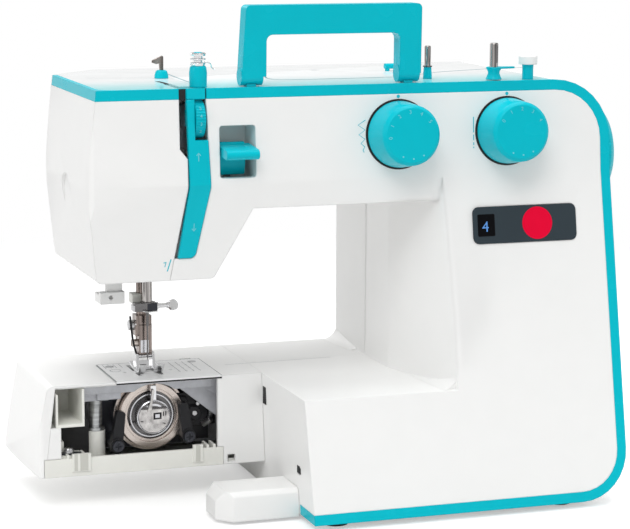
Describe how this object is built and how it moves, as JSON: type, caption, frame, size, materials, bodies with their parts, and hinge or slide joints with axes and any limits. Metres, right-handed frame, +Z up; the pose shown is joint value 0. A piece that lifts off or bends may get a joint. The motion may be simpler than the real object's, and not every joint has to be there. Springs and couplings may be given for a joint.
{
  "type": "sewing machine",
  "caption": "Free-arm sewing machine with a folding carry handle, control dials, hand wheel, open hook compartment, needle bar and presser foot.",
  "frame": {"origin": "middle of the machine seen from above, on the surface its feet stand on", "axes": "+X towards the hand wheel, +Y towards the back, +Z up; the dials and the needle face -Y"},
  "size_m": [0.3875, 0.194, 0.322],
  "materials": {
    "white_shell": "semi-gloss moulded",
    "white_cover": "semi-gloss moulded",
    "teal_plastic": "gloss moulded",
    "cream_plastic": "matt moulded",
    "chrome": "polished",
    "steel": "satin",
    "casting": "as cast",
    "black_plastic": "satin",
    "rubber": "matt",
    "slate_panel": "gloss",
    "bronze": "satin",
    "lamp_glass": "frosted",
    "plate_steel": "brushed"
  },
  "bodies": {
    "machine": {"front_cover": "white_shell", "rear_cover": "white_cover", "top_cover": "white_cover", "trim_ring": "teal_plastic", "face_hinge_pin": "steel", "thread_cover": "teal_plastic", "free_arm_shell": "white_shell", "arm_tray": "cream_plastic", "base_plate": "cream_plastic", "support_foot": "white_shell", "rubber_feet": "rubber", "needle_plate": "plate_steel", "plate_screws": "steel", "frame_casting": "casting", "arm_casting": "casting", "race_base": "casting", "race_ring": "bronze", "latch_screws": "steel", "feed_post": "steel", "lamp": "lamp_glass", "drive_belt": "rubber", "motor": "casting", "stitch_panel": "slate_panel", "handle_pins": "steel", "spool_pin": "chrome", "spool_guide": "teal_plastic", "winder_stop": "white_shell", "thread_post": "teal_plastic", "thread_hook": "steel", "power_inlet": "black_plastic"},
    "face_door": {"face_cover": "white_shell"},
    "handle": {"carry_handle": "teal_plastic"},
    "dial_a": {"width_dial": "teal_plastic"},
    "dial_b": {"length_dial": "teal_plastic"},
    "tension": {"tension_dial": "teal_plastic"},
    "reverse": {"reverse_lever": "teal_plastic"},
    "wheel": {"hand_wheel": "teal_plastic", "upper_shaft": "steel", "belt_wheel": "black_plastic"},
    "needle_unit": {"needle_bar": "chrome", "needle_clamp": "steel", "clamp_screw": "chrome", "needle": "chrome"},
    "take_up": {"take_up_lever": "chrome"},
    "hook": {"shuttle_hook": "steel"},
    "feed": {"feed_dog": "steel"},
    "motor_shaft": {"motor_pulley": "steel"},
    "presser": {"presser_bar": "chrome", "presser_ankle": "steel", "ankle_screw": "steel"},
    "foot": {"presser_foot": "chrome"},
    "lifter": {"presser_lifter": "cream_plastic"},
    "buttonhole": {"buttonhole_lever": "white_shell"},
    "latch_a": {"latch_left": "black_plastic"},
    "latch_b": {"latch_right": "black_plastic"},
    "case": {"bobbin_case": "chrome"},
    "case_flap": {"case_latch": "chrome"},
    "thread_bobbin": {"bobbin": "white_cover"},
    "winder": {"winder_spindle": "chrome"},
    "switch": {"power_switch": "black_plastic"}
  },
  "joints": [
    {"name": "wheel_turn", "type": "hinge", "parent": "machine", "child": "wheel", "pos_m": [0, 0, 0.219], "axis": [1, 0, 0], "range_deg": [0, 180]},
    {"name": "needle_stroke", "type": "slide", "parent": "machine", "child": "needle_unit", "axis": [0, 0, -1], "range_m": [0, 0.03]},
    {"name": "take_up_swing", "type": "hinge", "parent": "machine", "child": "take_up", "pos_m": [-0.112, -0.008, 0.238], "axis": [1, 0, 0], "range_deg": [0, 40]},
    {"name": "hook_turn", "type": "hinge", "parent": "machine", "child": "hook", "pos_m": [-0.11, 0.04, 0.0535], "axis": [0, 1, 0], "range_deg": [0, 200]},
    {"name": "feed_slide", "type": "slide", "parent": "machine", "child": "feed", "axis": [0, 1, 0], "range_m": [0, 0.004]},
    {"name": "motor_turn", "type": "hinge", "parent": "machine", "child": "motor_shaft", "pos_m": [0.1, 0.008, 0.06], "axis": [1, 0, 0], "range_deg": [0, 540]},
    {"name": "lifter_swing", "type": "hinge", "parent": "machine", "child": "lifter", "pos_m": [-0.102, 0.053, 0.147], "axis": [0, -1, 0], "range_deg": [0, 25]},
    {"name": "presser_lift", "type": "slide", "parent": "machine", "child": "presser", "axis": [0, 0, 1], "range_m": [0, 0.006]},
    {"name": "foot_tilt", "type": "hinge", "parent": "presser", "child": "foot", "pos_m": [-0.11, 0.0375, 0.0895], "axis": [-1, 0, 0], "range_deg": [0, 8]},
    {"name": "buttonhole_pull", "type": "slide", "parent": "machine", "child": "buttonhole", "axis": [0, 0, -1], "range_m": [0, 0.02]},
    {"name": "latch_left_open", "type": "hinge", "parent": "machine", "child": "latch_a", "pos_m": [-0.1355, 0.01, 0.0375], "axis": [0, -1, 0], "range_deg": [0, 45]},
    {"name": "latch_right_open", "type": "hinge", "parent": "machine", "child": "latch_b", "pos_m": [-0.088, 0.01, 0.0405], "axis": [0, 1, 0], "range_deg": [0, 45]},
    {"name": "case_out", "type": "slide", "parent": "machine", "child": "case", "axis": [0, -1, 0], "range_m": [0, 0.04]},
    {"name": "case_flap_open", "type": "hinge", "parent": "case", "child": "case_flap", "pos_m": [-0.1136, 0.0131, 0.0535], "axis": [0, 0, -1], "range_deg": [0, 60]},
    {"name": "bobbin_spin", "type": "hinge", "parent": "case", "child": "thread_bobbin", "pos_m": [-0.11, 0.017, 0.0535], "axis": [0, 1, 0], "continuous": true},
    {"name": "face_open", "type": "hinge", "parent": "machine", "child": "face_door", "pos_m": [-0.1145, 0.0945, 0.215], "axis": [0, 0, -1], "range_deg": [0, 70]},
    {"name": "handle_fold", "type": "hinge", "parent": "machine", "child": "handle", "pos_m": [0, -0.0515, 0.2785], "axis": [-1, 0, 0], "range_deg": [0, 90]},
    {"name": "width_dial_turn", "type": "hinge", "parent": "machine", "child": "dial_a", "pos_m": [0.0295, -0.06015, 0.241], "axis": [0, -0.9977, 0.0682], "range_deg": [-150, 150]},
    {"name": "length_dial_turn", "type": "hinge", "parent": "machine", "child": "dial_b", "pos_m": [0.103, -0.06015, 0.241], "axis": [0, -0.9977, 0.0682], "range_deg": [-150, 150]},
    {"name": "tension_turn", "type": "hinge", "parent": "machine", "child": "tension", "pos_m": [-0.0989, -0.0505, 0.2535], "axis": [1, 0, 0], "range_deg": [-150, 150]},
    {"name": "reverse_press", "type": "hinge", "parent": "machine", "child": "reverse", "pos_m": [-0.0755, -0.031, 0.2285], "axis": [1, 0, 0], "range_deg": [0, 15], "stiffness_Nm_per_rad": 0.5, "springref_deg": -5.73},
    {"name": "winder_spin", "type": "hinge", "parent": "machine", "child": "winder", "pos_m": [0.097, -0.051, 0.285], "axis": [0, 0, 1], "continuous": true},
    {"name": "switch_rock", "type": "hinge", "parent": "machine", "child": "switch", "pos_m": [0.1728, 0.056, 0.056], "axis": [0, 1, 0], "range_deg": [-8, 8]}
  ],
  "couplings": [
    {"joint": "needle_stroke", "follows": "wheel_turn", "m_per_rad": 0.00954},
    {"joint": "take_up_swing", "follows": "wheel_turn", "ratio": 0.2222},
    {"joint": "hook_turn", "follows": "wheel_turn", "ratio": 1.111},
    {"joint": "feed_slide", "follows": "wheel_turn", "m_per_rad": 0.00127},
    {"joint": "motor_turn", "follows": "wheel_turn", "ratio": 3},
    {"joint": "lifter_swing", "follows": "presser_lift", "rad_per_m": 72.7}
  ]
}
